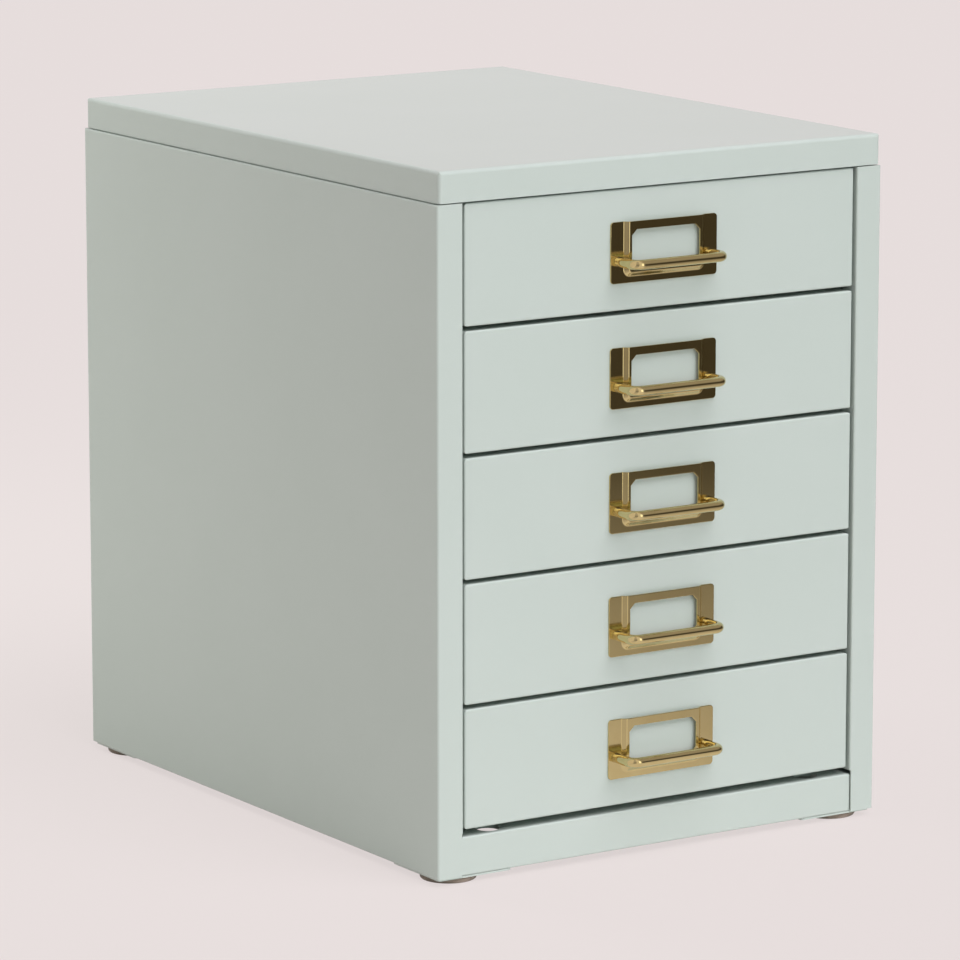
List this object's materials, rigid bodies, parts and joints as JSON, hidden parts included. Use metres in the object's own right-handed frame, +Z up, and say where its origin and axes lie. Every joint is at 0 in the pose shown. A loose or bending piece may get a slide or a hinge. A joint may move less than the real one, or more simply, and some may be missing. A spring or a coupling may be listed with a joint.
{
  "type": "desktop drawer cabinet",
  "caption": "Small sheet-steel desktop cabinet with shallow full-width drawers, brass wire pulls with label holders, an overlapping lid and felt feet.",
  "frame": {"origin": "on the standing surface, under the middle of the whole outline with the pulls", "axes": "+Z up, -Y out of the drawer fronts, +X to the right of someone facing the drawers"},
  "size_m": [0.28, 0.3822, 0.3725],
  "materials": {
    "cabinet_paint": "pale grey-green powder coat, satin",
    "inner_steel": "the same powder coat on the inner steel",
    "brass_plate": "bright polished brass plate",
    "brass_wire": "bright polished brass wire",
    "zinc_steel": "bright zinc plating",
    "felt": "brown wool felt"
  },
  "bodies": {
    "cabinet": {"left_side_panel": "cabinet_paint", "right_side_panel": "cabinet_paint", "back_panel": "cabinet_paint", "floor_panel": "cabinet_paint", "base_rail": "cabinet_paint", "top_panel": "cabinet_paint", "lid": "cabinet_paint", "lid_stiffener_front": "cabinet_paint", "lid_stiffener_rear": "cabinet_paint", "lid_screws": "zinc_steel", "upright_front_left": "inner_steel", "upright_rear_left": "inner_steel", "upright_front_right": "inner_steel", "upright_rear_right": "inner_steel", "runner_left_1": "inner_steel", "runner_left_2": "inner_steel", "runner_left_3": "inner_steel", "runner_left_4": "inner_steel", "runner_left_5": "inner_steel", "runner_right_1": "inner_steel", "runner_right_2": "inner_steel", "runner_right_3": "inner_steel", "runner_right_4": "inner_steel", "runner_right_5": "inner_steel", "corner_plate_front_left": "cabinet_paint", "corner_plate_rear_left": "cabinet_paint", "corner_plate_front_right": "cabinet_paint", "corner_plate_rear_right": "cabinet_paint", "felt_foot_front_left": "felt", "felt_foot_rear_left": "felt", "felt_foot_front_right": "felt", "felt_foot_rear_right": "felt", "foot_screws": "zinc_steel"},
    "drawer_1": {"drawer_1_box": "cabinet_paint", "drawer_1_front": "cabinet_paint", "drawer_1_label_holder": "brass_plate", "drawer_1_pull": "brass_wire", "drawer_1_pull_caps": "zinc_steel"},
    "drawer_2": {"drawer_2_box": "cabinet_paint", "drawer_2_front": "cabinet_paint", "drawer_2_label_holder": "brass_plate", "drawer_2_pull": "brass_wire", "drawer_2_pull_caps": "zinc_steel"},
    "drawer_3": {"drawer_3_box": "cabinet_paint", "drawer_3_front": "cabinet_paint", "drawer_3_label_holder": "brass_plate", "drawer_3_pull": "brass_wire", "drawer_3_pull_caps": "zinc_steel"},
    "drawer_4": {"drawer_4_box": "cabinet_paint", "drawer_4_front": "cabinet_paint", "drawer_4_label_holder": "brass_plate", "drawer_4_pull": "brass_wire", "drawer_4_pull_caps": "zinc_steel"},
    "drawer_5": {"drawer_5_box": "cabinet_paint", "drawer_5_front": "cabinet_paint", "drawer_5_label_holder": "brass_plate", "drawer_5_pull": "brass_wire", "drawer_5_pull_caps": "zinc_steel"}
  },
  "joints": [
    {"name": "drawer_1_slide", "type": "slide", "parent": "cabinet", "child": "drawer_1", "axis": [0, -1, 0], "range_m": [0, 0.285]},
    {"name": "drawer_2_slide", "type": "slide", "parent": "cabinet", "child": "drawer_2", "axis": [0, -1, 0], "range_m": [0, 0.285]},
    {"name": "drawer_3_slide", "type": "slide", "parent": "cabinet", "child": "drawer_3", "axis": [0, -1, 0], "range_m": [0, 0.285]},
    {"name": "drawer_4_slide", "type": "slide", "parent": "cabinet", "child": "drawer_4", "axis": [0, -1, 0], "range_m": [0, 0.285]},
    {"name": "drawer_5_slide", "type": "slide", "parent": "cabinet", "child": "drawer_5", "axis": [0, -1, 0], "range_m": [0, 0.285]}
  ]
}
